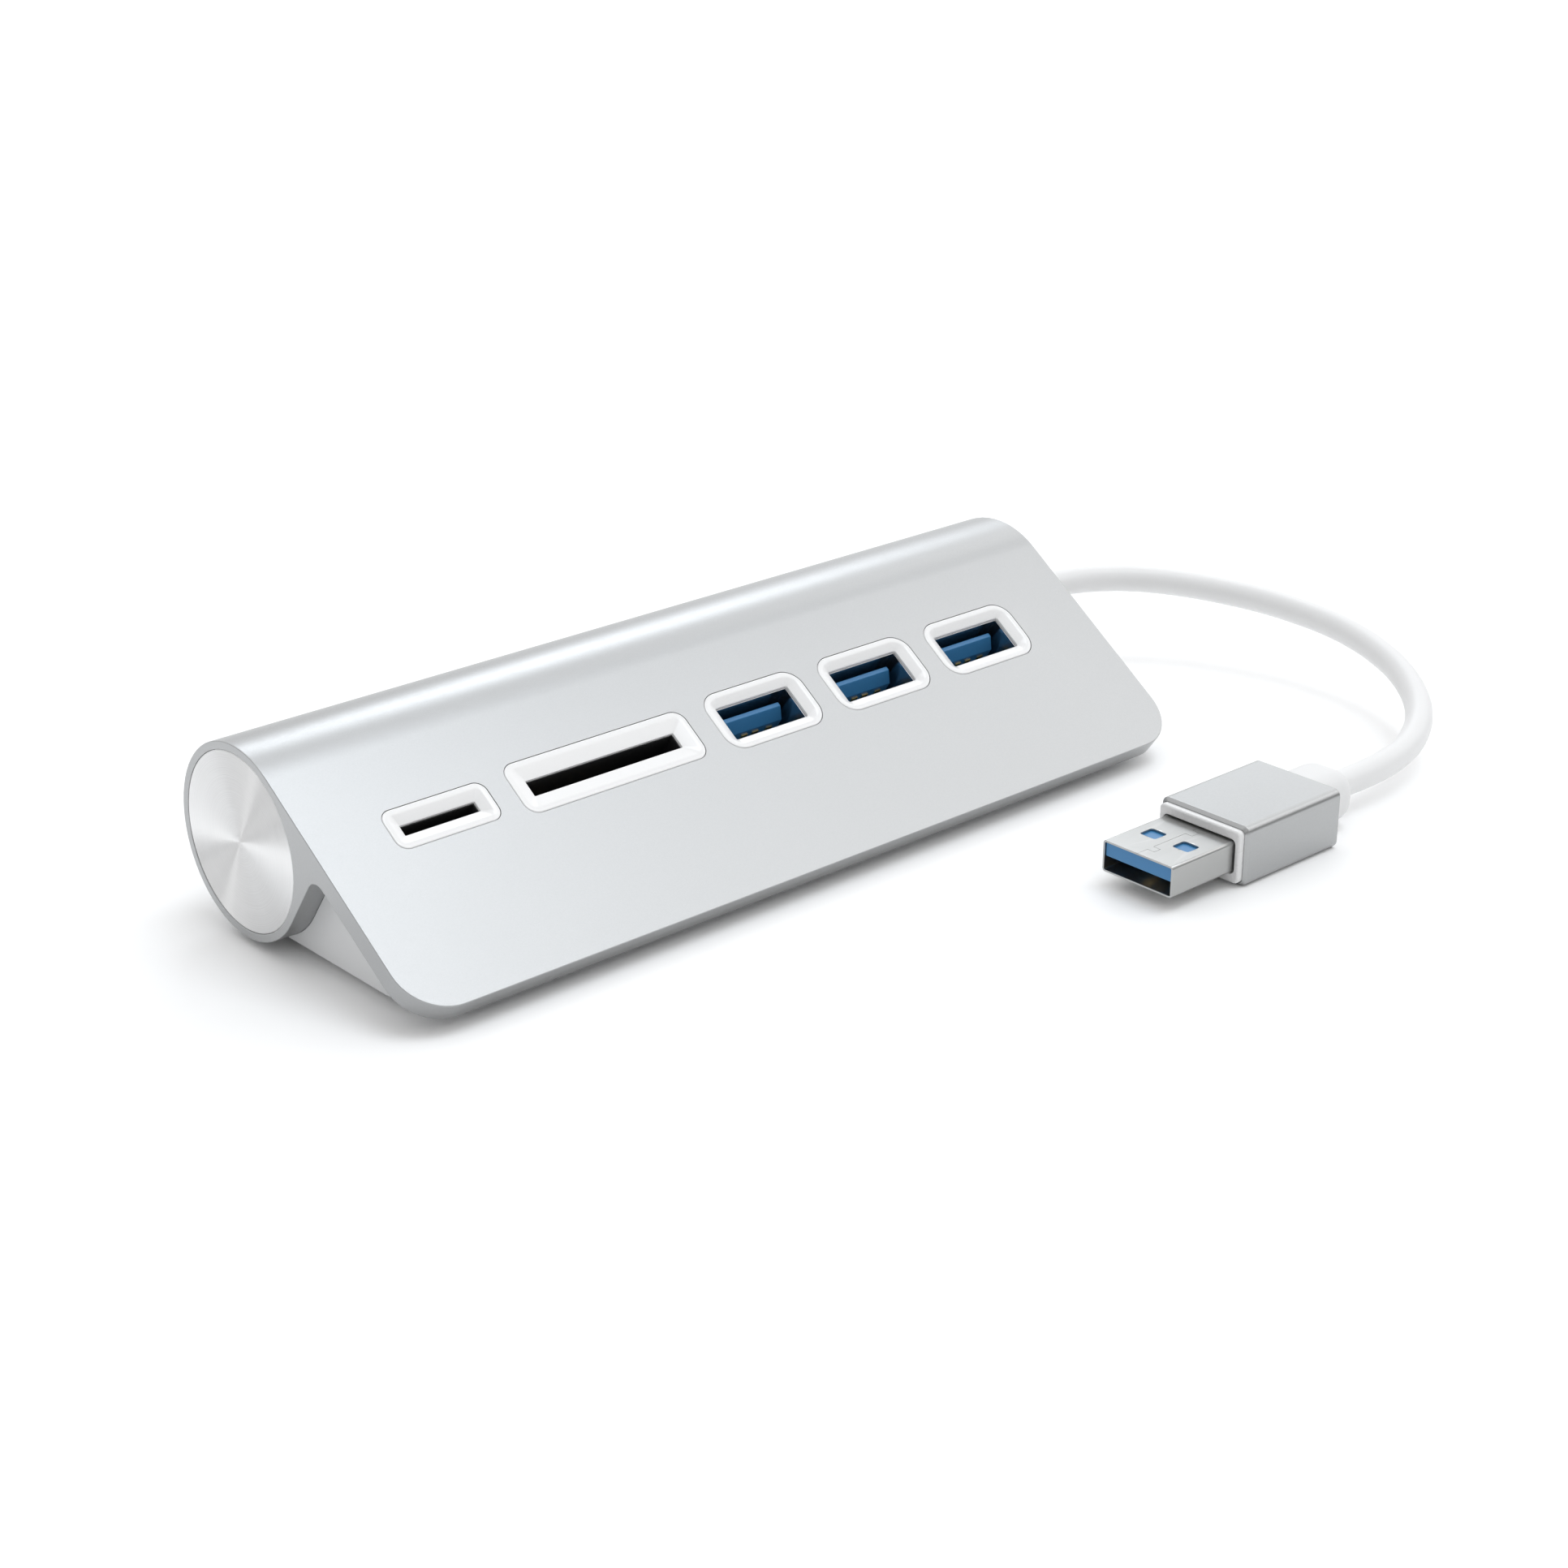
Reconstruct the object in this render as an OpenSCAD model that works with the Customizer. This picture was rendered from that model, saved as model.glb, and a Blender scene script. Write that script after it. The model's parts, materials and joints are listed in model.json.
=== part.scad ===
// Desktop USB hub with card reader: an extruded aluminium body whose rear tube
// runs into a sloping port plate, on a moulded base, with a short lead and plug.
// Millimetres. +X runs along the body, the sloping plate faces -Y, +Z is up.
// The origin is under the middle of the body, on the surface it stands on.

/* [Body] */
// Length of the extruded body
body_l = 135; // [132:0.5:140]
// Outside diameter of the rear tube
tube_d = 26.2; // [26:0.05:26.5]
// Wall of the rear tube
tube_wall = 1.1; // [0.9:0.1:1.3]
// Fall of the port plate from level, in degrees
slope = 35; // [34:0.5:36]
// Length of the port plate, from the top of the tube to its front edge
plate_reach = 36.8; // [36:0.1:38]
// Thickness of the port plate
plate_t = 2.9; // [2.7:0.1:3.1]
// Radius of the plate's two front corners
corner_r = 6.7; // [5:0.1:8]
// Radius of the fillet between the web and the underside of the plate
notch_r = 2.2; // [1.6:0.1:2.6]

/* [Ports] */
// Distance of the row of ports down the plate
port_line = 12; // [11.8:0.1:12.2]
// Middle of the microSD slot along the body
microsd_x = -48.85; // [-49.2:0.05:-48.6]
// Middle of the SD slot along the body
sd_x = -22.6; // [-23:0.1:-22.2]
// Middle of the first USB port along the body
usb_x = 4.6; // [4.2:0.1:5]
// Spacing of the three USB ports
usb_pitch = 20.65; // [20.2:0.05:21]
// Width of a USB port's bezel
usb_bezel_w = 17.3; // [17:0.1:17.6]
// Width of the SD slot's bezel
sd_bezel_w = 29.9; // [29.6:0.1:30.2]
// Width of the microSD slot's bezel
microsd_bezel_w = 15.8; // [15.5:0.1:16.2]
// Fall of each bezel's funnel from its rim to its opening
funnel_depth = 0.7; // [0.6:0.05:0.9]

/* [Base] */
// Height of the tube's lowest line above the surface
tube_lift = 1; // [0.8:0.1:1.4]
// Height of the moulded base's underside above the surface
base_lift = 1.35; // [1.2:0.05:1.6]
// How far the base stops short of each end of the body
base_inset = 3.4; // [2.5:0.1:4.5]
// Thickness of the base's floor
floor_t = 1.2; // [1:0.1:1.3]
// Diameter of a rubber foot
foot_d = 7; // [6:0.5:7.5]

/* [Plug] */
// Width of the plug's aluminium sleeve
sleeve_w = 15; // [14.6:0.1:16]
// Height of the plug's aluminium sleeve
sleeve_h = 8.6; // [8.4:0.1:9]
// Length of the plug's aluminium sleeve
sleeve_l = 19.5; // [18.5:0.5:22]
// Length of steel shell that stands out of the plug's core
shell_l = 12.1; // [11.75:0.05:12.5]

/* [Lead] */
// Diameter of the lead
cord_d = 4; // [3.8:0.1:4.2]

/* [Hidden] */
$fn = 64;
CORD_SIDES = 10;
GAP = 0.1;          // assembly clearance between fixed pieces
CLOSE_GAP = 0.05;   // clearance between pieces that nearly touch
TOUCH = 0.02;       // clearance between a socket's pieces and what they lie against
OVER = 1;           // how far a cutter runs past the face it cuts
tube_r = tube_d / 2;
bore_r = tube_r - tube_wall;
half_l = body_l / 2;
tube_z = tube_lift + tube_r;
depth_y = tube_r * (1 + sin(slope)) + plate_reach * cos(slope);
tube_y = depth_y / 2 - tube_r;
plate_under = tube_r - plate_t;

// Bezels: they sit in pockets in the plate and stand just proud of it
BEZEL_T = 3;
BEZEL_PROUD = 0.05;
BEZEL_RIM = 0.8;
POCKET_GAP = 0.04;
THROAT_DEPTH = 0.4;             // straight part of a bezel's opening, under its funnel
SOCKET_ROOM = 0.4;              // space round a socket's body where it passes through the plate
bezel_top = tube_r + BEZEL_PROUD;
pocket_floor = bezel_top - BEZEL_T;
mouth_z = bezel_top - funnel_depth - THROAT_DEPTH;    // where the sockets' mouths start

// Each kind of port: bezel width, height and corner radius; opening in the bezel; socket body
USB_BEZEL = [usb_bezel_w, 9.45, 2.8];
USB_OPEN = [13, 5.5];
USB_SHELL = [13.2, 5.72];
SD_BEZEL = [sd_bezel_w, 8, 1.9];
SD_OPEN = [24.6, 2.5];
SD_SLOT = [24.3, 2.25];
SD_BODY = [27.8, 3.7];
MICROSD_BEZEL = [microsd_bezel_w, 6, 1.6];
MICROSD_OPEN = [11.5, 1.6];
MICROSD_SLOT = [11.2, 1.3];
MICROSD_BODY = [13.4, 2.6];
CARD_FLOOR = 1.4;               // solid part of a card socket, behind its slot
usb_xs = [for (i = [0:2]) usb_x + i * usb_pitch];

// Blue moulding of a USB port: its block on the board, and its tongue
INSULATOR_H = 2.6;
PORT_TONGUE_W = 11.1;
PORT_TONGUE_T = 1.84;
PORT_TONGUE_TIP_T = 0.7;
PORT_TONGUE_LEAD = 1.6;         // length of the slanted lead-in on the contact side
PORT_TONGUE_UP = 1.8;           // upper face of the tongue, up the slope from the port's middle
port_tongue_tip = tube_r - 2.55;
port_tongue_face = PORT_TONGUE_UP - PORT_TONGUE_T;

// Circuit board, parallel to the plate
BOARD_TOP = -1.6;
BOARD_T = 1.2;
BOARD_FRONT = 14.8;
BOARD_BACK = 9;
board_half = half_l - 9.5;
BOARD_SCREW_XS = [-39.2, 14.9, 35.6];
BOARD_SCREW_DOWN = 12.6;
BOARD_BOSS_D = 4.4;
BOARD_HOLE_R = 1.1;
BOARD_PILOT_R = 0.8;
BOARD_PILOT_DEPTH = 1.8;
HEADER_X = 50.5;
HEADER = [5, 6, 3.2];

// Opening machined in the tube for the board, between the two end lengths
SLOT_TOP = 8.8;
SLOT_LOW = -6.2;
SLOT_FRONT = 17.5;
SLOT_BACK = 7.2;
slot_half = half_l - 7.5;

// Base fixing: two screws up into the plate, and three hooks over the tube's edge
BASE_SCREW_X = 52;
BASE_SCREW_DOWN = 30;
BASE_SCREW_R = 1;
BASE_SCREW_DEPTH = 1.9;
BASE_SCREW_SEAT = 8.8;
BASE_SCREW_HEAD_R = 1.9;
BASE_SCREW_HEAD_T = 1.2;
SCREW_GAP = 0.01;               // how much thinner a screw's shank is than its hole
DRIVE_R = 0.8;                  // hexagon recess in the screw heads
DRIVE_DEPTH = 0.6;
BASE_BOSS_R = 2.6;
BASE_NOSE_INSET = 2.6;          // how far the base stops short of the plate's front edge
BASE_BACK = 4.4;                // level distance from the tube's axis to the base's back edge
BASE_END_WALL = 2;
BASE_FRONT_WALL = 2.4;
HOOK_XS = [-50, -5, 50];
HOOK = [8, 3.4, 1.2];
HOOK_BACK = 9.4;                // distance of the hooks' tips from the tube's axis
FOOT_SINK = 0.5;
front_foot_y = tube_y - BASE_SCREW_DOWN * cos(slope)
    - (tan(slope) * BASE_SCREW_DOWN - (tube_z - base_lift) / cos(slope)) * sin(slope);
REAR_FOOT_BACK = 8;
rear_foot_y = tube_y - REAR_FOOT_BACK;

// End caps
CAP_INSET = 0.08;
CAP_T = 1;
CAP_GAP = 0.05;
CAP_CHAMFER = 0.08;
PLUG_T = 2;
PLUG_SKIRT = 6;
PLUG_SKIRT_T = 1.5;
cap_r = bore_r - CAP_GAP;
end_plug_r = bore_r - CLOSE_GAP;
cap_out = half_l - CAP_INSET;
cap_in = cap_out - CAP_T;

// Lead, its boot and its route: straight out of the end cap, down and round to the plug
cord_r = cord_d / 2;
BOOT_R = 3.4;
BOOT_TIP_R = 2.7;
BOOT_L = 6.5;
BOOT_NOSE = 2.5;
BOOT_FLANGE_R = 5;
BOOT_FLANGE_T = 1;
plug_y = -54;
plug_z = sleeve_h / 2;
ROUTE = [
    [60, 12.3, 14.1], [67, 12.3, 14.1], [74, 12.3, 14.1], [79, 12.1, 14], [84, 11.3, 13.8],
    [88.8, 9.6, 13.5], [93, 7, 13.2], [96.6, 3.6, 12.8], [99.6, -0.5, 12.4],
    [102, -5.3, 12], [103.9, -10.6, 11.6], [105.1, -16.3, 11.1], [105.5, -22.2, 10.6],
    [105.1, -28.1, 9.9], [103.7, -33.8, 9.1], [101.4, -39.2, 8.2], [98.2, -44, 7.2],
    [94.2, -48, 6.3], [89.5, -51, 5.5], [84.3, -53, 4.9], [78.8, plug_y, plug_z + 0.3],
    [73.5, plug_y - 0.2, plug_z + 0.1], [68.5, plug_y, plug_z], [63, plug_y, plug_z]
];

// Plug pieces, from the mouth at plug_mouth_x back to the strain relief
sleeve_x = 39;
CORE_OUT = 0.9;
CORE_RECESS = 0.9;              // depth of the recess round the shell
CORE_RECESS_GAP = 0.2;          // width of that recess
SLEEVE_WALL = 0.5;
SLEEVE_R = 1.1;
PLUG_SHELL = [12, 4.5];
PLUG_SHELL_R = 0.5;
PLUG_INNER_R = 0.15;
SHEET_T = 0.3;
SHELL_TAIL = 4;
RELIEF = [9, 7.6];
RELIEF_R = 3.2;
RELIEF_L = 7.5;
WINDOW_X = 5;
WINDOW = [2.5, 2.7];
WINDOW_SIDE = 2.8;
PLUG_TONGUE_T = 1.95;
PLUG_TONGUE_IN = 0.25;          // how far the tongue stops short of the shell's mouth
core_front = sleeve_x - CORE_OUT;
plug_mouth_x = core_front - shell_l;
sleeve_back = sleeve_x + sleeve_l;
shell_tail_x = core_front + SHELL_TAIL;
plug_inner = [PLUG_SHELL[0] - 2 * SHEET_T, PLUG_SHELL[1] - 2 * SHEET_T];

// ---- helpers ----

// Extrudes a y,z outline along X
module along_x(from, to) {
    translate([from, 0, 0]) rotate([90, 0, 90]) linear_extrude(height = to - from) children();
}

// Puts children in the plate's axes: Y up the slope, Z out of the plate, tube axis at 0
module in_slope() {
    translate([0, tube_y, tube_z]) rotate([slope, 0, 0]) children();
}

module rounded_rect(w, h, r) {
    square([w - 2 * r, h], center = true);
    square([w, h - 2 * r], center = true);
    for (sx = [-1, 1], sy = [-1, 1])
        translate([sx * (w / 2 - r), sy * (h / 2 - r)]) circle(r = r);
}

// A box given by its middle in x and y, and its bottom and top
module block(x, y, size, low, high) {
    translate([x - size[0] / 2, y - size[1] / 2, low]) cube([size[0], size[1], high - low]);
}

// Four-sided funnel: a large mouth at z = 0 that tapers to a small one below
module funnel(mouth, throat, depth) {
    intersection() {
        rotate([90, 0, 0]) linear_extrude(height = 2 * mouth[1], center = true)
            funnel_side(mouth[0], throat[0], depth);
        rotate([90, 0, 90]) linear_extrude(height = 2 * mouth[0], center = true)
            funnel_side(mouth[1], throat[1], depth);
    }
}

module funnel_side(mouth_w, throat_w, depth) {
    polygon([[-throat_w / 2, -depth], [throat_w / 2, -depth], [mouth_w / 2, 0],
             [mouth_w / 2, OVER], [-mouth_w / 2, OVER], [-mouth_w / 2, 0]]);
}

// ---- body and base ----

// Outline of the extrusion in the plate's axes, grown by gap
module body_outline(gap = 0) {
    difference() {
        union() {
            circle(r = tube_r + gap);
            translate([-tube_r - gap, 0]) square(tube_r + gap);
            translate([-plate_reach, plate_under - gap]) square([plate_reach, plate_t + 2 * gap]);
            translate([-tube_r - notch_r, plate_under - notch_r]) square(notch_r + gap);
        }
        translate([-tube_r - notch_r, plate_under - notch_r]) circle(r = notch_r - gap);
    }
}

// What is cut from a square corner to leave it rounded, for the corner at +x, -y
module corner_cut() {
    difference() {
        translate([0, -corner_r - OVER]) square(corner_r + OVER);
        circle(r = corner_r);
    }
}

module front_corner_cuts(x, reach, low, high) {
    for (side = [0, 1]) mirror([side, 0, 0])
        translate([x - corner_r, corner_r - reach, low])
            linear_extrude(height = high - low) corner_cut();
}

module port_pocket(x, bezel, socket) {
    grow = 2 * POCKET_GAP;
    translate([x, -port_line, pocket_floor])
        linear_extrude(height = BEZEL_T + OVER)
            rounded_rect(bezel[0] + grow, bezel[1] + grow, bezel[2] + POCKET_GAP);
    block(x, -port_line, [socket[0] + 2 * SOCKET_ROOM, socket[1] + 2 * SOCKET_ROOM],
          SLOT_TOP - OVER, pocket_floor + OVER);
}

module body_extrusion() {
    color("gainsboro") in_slope() difference() {
        along_x(-half_l, half_l) difference() {
            body_outline();
            circle(r = bore_r);
        }
        front_corner_cuts(half_l, plate_reach, plate_under - OVER, tube_r + OVER);
        translate([-slot_half, -SLOT_FRONT, SLOT_LOW])
            cube([2 * slot_half, SLOT_FRONT - SLOT_BACK, SLOT_TOP - SLOT_LOW]);
        port_pocket(microsd_x, MICROSD_BEZEL, MICROSD_BODY);
        port_pocket(sd_x, SD_BEZEL, SD_BODY);
        for (x = usb_xs) port_pocket(x, USB_BEZEL, USB_SHELL);
        for (side = [-1, 1])
            translate([side * BASE_SCREW_X, -BASE_SCREW_DOWN, plate_under - OVER])
                cylinder(r = BASE_SCREW_R, h = BASE_SCREW_DEPTH + OVER);
    }
}

// Space under the plate and over a level plane that is lift above the surface
module under_plate(front, lift) {
    intersection() {
        translate([-front, -plate_reach]) square([front, plate_reach + plate_under - CLOSE_GAP]);
        rotate(-slope) translate([-2 * plate_reach, lift - tube_z])
            square([2 * plate_reach - BASE_BACK, 2 * plate_reach]);
    }
}

// Posts under the plate and the board, and the hooks that hold the tube's cut edge
module base_posts() {
    post_low = SLOT_LOW + CLOSE_GAP;
    for (side = [-1, 1])
        translate([side * BASE_SCREW_X, -BASE_SCREW_DOWN, 0])
            cylinder(r = BASE_BOSS_R, h = plate_under - GAP);
    for (x = BOARD_SCREW_XS)
        translate([x, -BOARD_SCREW_DOWN, post_low])
            cylinder(d = BOARD_BOSS_D, h = BOARD_TOP - BOARD_T - post_low);
    for (x = HOOK_XS)
        translate([x - HOOK[0] / 2, -HOOK[1] - HOOK_BACK, post_low]) cube(HOOK);
}

module base_cover() {
    half = half_l - base_inset;
    reach = plate_reach - BASE_NOSE_INSET;
    color("silver") difference() {
        in_slope() difference() {
            union() {
                difference() {
                    along_x(-half, half) difference() {
                        under_plate(reach, base_lift);
                        body_outline(CLOSE_GAP);
                    }
                    along_x(-half + BASE_END_WALL, half - BASE_END_WALL)
                        under_plate(reach - BASE_FRONT_WALL, base_lift + floor_t);
                }
                intersection() {
                    base_posts();
                    along_x(-half, half) rotate(-slope)
                        translate([-2 * plate_reach, base_lift + floor_t / 2 - tube_z])
                            square([4 * plate_reach, 2 * plate_reach]);
                }
            }
            front_corner_cuts(half, reach, -tube_r, tube_r);
            for (side = [-1, 1]) translate([side * BASE_SCREW_X, -BASE_SCREW_DOWN, -tube_r]) {
                cylinder(r = BASE_SCREW_R + GAP, h = 2 * tube_r);
                cylinder(r = BASE_SCREW_HEAD_R + 2 * GAP, h = tube_r + BASE_SCREW_SEAT);
            }
            for (x = BOARD_SCREW_XS)
                translate([x, -BOARD_SCREW_DOWN, BOARD_TOP - BOARD_T - BOARD_PILOT_DEPTH])
                    cylinder(r = BOARD_PILOT_R, h = BOARD_PILOT_DEPTH + OVER);
        }
        for (x = [-BASE_SCREW_X, BASE_SCREW_X], y = [front_foot_y, rear_foot_y])
            translate([x, y, 0]) cylinder(d = foot_d + 2 * GAP, h = base_lift + FOOT_SINK);
    }
}

// Screws that come up through the base, out of sight over the front feet
module base_screws() {
    shank_top = plate_under + BASE_SCREW_DEPTH - GAP;
    head_low = BASE_SCREW_SEAT - BASE_SCREW_HEAD_T;
    color("dimgray") in_slope() for (side = [-1, 1])
        translate([side * BASE_SCREW_X, -BASE_SCREW_DOWN, head_low]) difference() {
            union() {
                cylinder(r = BASE_SCREW_HEAD_R, h = BASE_SCREW_HEAD_T);
                cylinder(r = BASE_SCREW_R - SCREW_GAP, h = shank_top - head_low);
            }
            translate([0, 0, -OVER]) cylinder(r = DRIVE_R, h = OVER + DRIVE_DEPTH, $fn = 6);
        }
}

module rubber_foot(i) {
    x = (i % 2 == 0 ? -1 : 1) * BASE_SCREW_X;
    y = i < 2 ? rear_foot_y : front_foot_y;
    edge = 0.4;
    color("darkgray") translate([x, y, 0]) rotate_extrude()
        polygon([[0, 0], [foot_d / 2 - edge, 0], [foot_d / 2, edge],
                 [foot_d / 2, base_lift + FOOT_SINK], [0, base_lift + FOOT_SINK]]);
}

// ---- ends of the tube ----

// Turned about the tube's axis: children's outline is radius, then distance outwards
module on_tube_axis(side) {
    translate([0, tube_y, tube_z]) rotate([0, side * 90, 0]) rotate_extrude() children();
}

module end_cap(side, hole_r) {
    color("whitesmoke") on_tube_axis(side)
        polygon([[hole_r, cap_in], [cap_r, cap_in], [cap_r, cap_out - CAP_CHAMFER],
                 [cap_r - CAP_CHAMFER, cap_out], [hole_r, cap_out]]);
}

// Moulded plug behind a cap, with a skirt inside the tube, a hole and a seat in its outer face
module end_plug(side, hole_r, seat_r, seat_t) {
    back = cap_in - PLUG_T;
    color("lightgray") on_tube_axis(side) difference() {
        translate([0, cap_in - PLUG_SKIRT]) square([end_plug_r, PLUG_SKIRT]);
        translate([0, back - PLUG_SKIRT]) square([end_plug_r - PLUG_SKIRT_T, PLUG_SKIRT]);
        if (hole_r > 0) translate([0, back - OVER]) square([hole_r, PLUG_T + 2 * OVER]);
        if (seat_r > 0) translate([0, cap_in - seat_t]) square([seat_r, seat_t + OVER]);
    }
}

// Boot that guards the lead where it leaves the right-hand cap, narrower towards its tip
module cable_boot() {
    tip = half_l + BOOT_L;
    shoulder_r = BOOT_R - 0.2;
    shoulder = tip - BOOT_NOSE * 0.45;
    color("white") on_tube_axis(1)
        polygon([[cord_r + CLOSE_GAP, cap_in - BOOT_FLANGE_T], [BOOT_FLANGE_R, cap_in - BOOT_FLANGE_T],
                 [BOOT_FLANGE_R, cap_in], [BOOT_R, cap_in], [BOOT_R, tip - BOOT_NOSE],
                 [shoulder_r, shoulder], [BOOT_TIP_R, tip], [cord_r + CLOSE_GAP, tip]]);
}

// ---- ports ----

module bezel(x, size, opening, socket) {
    seat = [socket[0] + 2 * GAP, socket[1] + 2 * GAP];
    color("white") in_slope() translate([x, -port_line, 0]) difference() {
        translate([0, 0, pocket_floor])
            linear_extrude(height = BEZEL_T) rounded_rect(size[0], size[1], size[2]);
        translate([0, 0, bezel_top])
            funnel([size[0] - 2 * BEZEL_RIM, size[1] - 2 * BEZEL_RIM], opening, funnel_depth);
        block(0, 0, opening, pocket_floor - OVER, bezel_top);
        block(0, 0, seat, pocket_floor - OVER, mouth_z);
    }
}

module usb_shell(x) {
    color("silver") in_slope() difference() {
        block(x, -port_line, USB_SHELL, BOARD_TOP, mouth_z - TOUCH);
        block(x, -port_line, [USB_SHELL[0] - 2 * SHEET_T, USB_SHELL[1] - 2 * SHEET_T],
              BOARD_TOP - OVER, mouth_z + OVER);
    }
}

// Blue moulding of a USB port: a block at the board and the tongue, slanted on its contact side
module usb_insulator(x) {
    base = BOARD_TOP + INSULATOR_H;
    fit = 2 * (SHEET_T + CLOSE_GAP);
    color("steelblue") in_slope() translate([0, -port_line, 0]) union() {
        block(x, 0, [USB_SHELL[0] - fit, USB_SHELL[1] - fit], BOARD_TOP, base);
        along_x(x - PORT_TONGUE_W / 2, x + PORT_TONGUE_W / 2)
            polygon([[port_tongue_face, base - GAP], [PORT_TONGUE_UP, base - GAP],
                     [PORT_TONGUE_UP, port_tongue_tip],
                     [PORT_TONGUE_UP - PORT_TONGUE_TIP_T, port_tongue_tip],
                     [port_tongue_face, port_tongue_tip - PORT_TONGUE_LEAD]]);
    }
}

// Four contacts towards the tongue's tip, and five nearer the board
module usb_contacts(x) {
    wide = [1.1, 0.15];
    narrow = [0.6, 0.15];
    split = port_tongue_tip - 6;
    y = -port_line + port_tongue_face - wide[1] / 2;
    color("goldenrod") in_slope() {
        for (dx = [-3.5, -1, 1, 3.5])
            block(x + dx, y, wide, split, port_tongue_tip - PORT_TONGUE_LEAD - 1);
        for (i = [-2:2]) block(x + 2 * i, y, narrow, BOARD_TOP + INSULATOR_H, split - 0.5);
    }
}

// A card socket's moulding: a block with a blind slot, and one broad side left for its cover
module card_socket(x, body, slot, shade) {
    color(shade) in_slope() difference() {
        block(x, -port_line - SHEET_T / 2, [body[0] - 2 * SHEET_T, body[1] - SHEET_T],
              BOARD_TOP, mouth_z - TOUCH);
        block(x, -port_line, slot, BOARD_TOP + CARD_FLOOR, mouth_z + OVER);
    }
}

// Folded steel cover on the up-slope side of a card socket
module card_cover(x, body) {
    color("lightsteelblue") in_slope() difference() {
        block(x, -port_line, body, BOARD_TOP, mouth_z - SHEET_T);
        block(x, -port_line - SHEET_T + TOUCH, [body[0] - 2 * SHEET_T, body[1]],
              BOARD_TOP - OVER, mouth_z + OVER);
    }
}

module card_contacts(x, count, pitch, slot) {
    leaf = [0.7, 0.2];
    leaf_l = 4.5;
    color("goldenrod") in_slope() for (i = [0:count - 1])
        block(x + (i - (count - 1) / 2) * pitch, -port_line - slot[1] / 2 + leaf[1] / 2, leaf,
              BOARD_TOP + CARD_FLOOR, BOARD_TOP + CARD_FLOOR + leaf_l);
}

// ---- board and what is on it ----

module circuit_board() {
    color("darkgreen") in_slope() difference() {
        translate([-board_half, -BOARD_FRONT, BOARD_TOP - BOARD_T])
            cube([2 * board_half, BOARD_FRONT + BOARD_BACK, BOARD_T]);
        for (x = BOARD_SCREW_XS) translate([x, -BOARD_SCREW_DOWN, BOARD_TOP - BOARD_T - OVER])
            cylinder(r = BOARD_HOLE_R, h = BOARD_T + 2 * OVER);
    }
}

module board_screws() {
    head = [1.7, 1.1];
    shank_l = BOARD_T + BOARD_PILOT_DEPTH - 3 * GAP;
    color("dimgray") in_slope() for (x = BOARD_SCREW_XS)
        translate([x, -BOARD_SCREW_DOWN, BOARD_TOP]) difference() {
            union() {
                cylinder(r = head[0], h = head[1]);
                translate([0, 0, -shank_l]) cylinder(r = BOARD_PILOT_R - SCREW_GAP, h = shank_l);
            }
            translate([0, 0, head[1] - DRIVE_DEPTH]) cylinder(r = DRIVE_R, h = OVER, $fn = 6);
        }
}

// A part that stands on the board, with its middle at x along and y up the slope
module on_board(x, y, size, height) {
    in_slope() block(x, y, size, BOARD_TOP, BOARD_TOP + height);
}

// Flat chip with a row of leads along two sides
module chip(x, y, size, height, leads) {
    lead = [0.3, 0.8];
    lead_h = 0.25;
    pitch = (size[0] - 1) / (leads - 1);
    color("darkslategray") {
        on_board(x, y, size, height);
        for (i = [0:leads - 1], side = [-1, 1])
            on_board(x + (i - (leads - 1) / 2) * pitch,
                     y + side * (size[1] / 2 + lead[1] / 2 - TOUCH), lead, lead_h);
    }
}

module hub_chip() chip(18, 1, [9, 9], 0.9, 12);
module card_reader_chip() chip(-30, 1, [7, 7], 0.9, 10);

module crystal() {
    color("silver") on_board(3, 1, [5, 3.2], 1);
}

// Regulator with a tab on one side and three legs on the other
module voltage_regulator() {
    x = 36;
    color("dimgray") {
        on_board(x, 2, [6.5, 3.5], 1.6);
        on_board(x, 4.3, [3, 1.2], 0.4);
        for (dx = [-2.3, 0, 2.3]) on_board(x + dx, -0.4, [0.7, 1.4], 0.3);
    }
}

// Can capacitors beside the USB ports and small chip capacitors round the chips
module capacitors() {
    foot_w = 4.3;
    foot_h = 0.4;
    can = [4, 5];
    small = [1.6, 0.8];
    color("slategray") {
        for (x = [-8, 28, 44]) in_slope() translate([x, 4.5, BOARD_TOP]) {
            block(0, 0, [foot_w, foot_w], 0, foot_h);
            translate([0, 0, foot_h]) cylinder(d = can[0], h = can[1]);
        }
        for (x = [-45, -38, -22, -15, 9.5, 25]) on_board(x, -1.5, small, small[1]);
    }
}

module cable_header() {
    color("ivory") on_board(HEADER_X, 0, HEADER, HEADER[2]);
}

// Short wires between the header and the lead's cut end
module cable_leads() {
    wire_r = 0.3;
    pitch = 0.7;
    start = HEADER_X + HEADER[0] / 2;
    color("indianred") in_slope() for (i = [-2:2])
        translate([start, i * pitch, 0]) rotate([0, 90, 0])
            cylinder(r = wire_r, h = ROUTE[0][0] - start, $fn = 16);
}

// ---- lead and plug ----

function unit(v) = v / norm(v);
function route_direction(i) =
    unit(ROUTE[min(i + 1, len(ROUTE) - 1)] - ROUTE[max(i - 1, 0)]);
function ring(i) = let (
        along = route_direction(i),
        side = unit(cross(along, [0, 0, 1])),
        up = cross(side, along))
    [for (k = [0:CORD_SIDES - 1]) let (a = 360 * k / CORD_SIDES)
        ROUTE[i] + cord_r * (cos(a) * side + sin(a) * up)];

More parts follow.
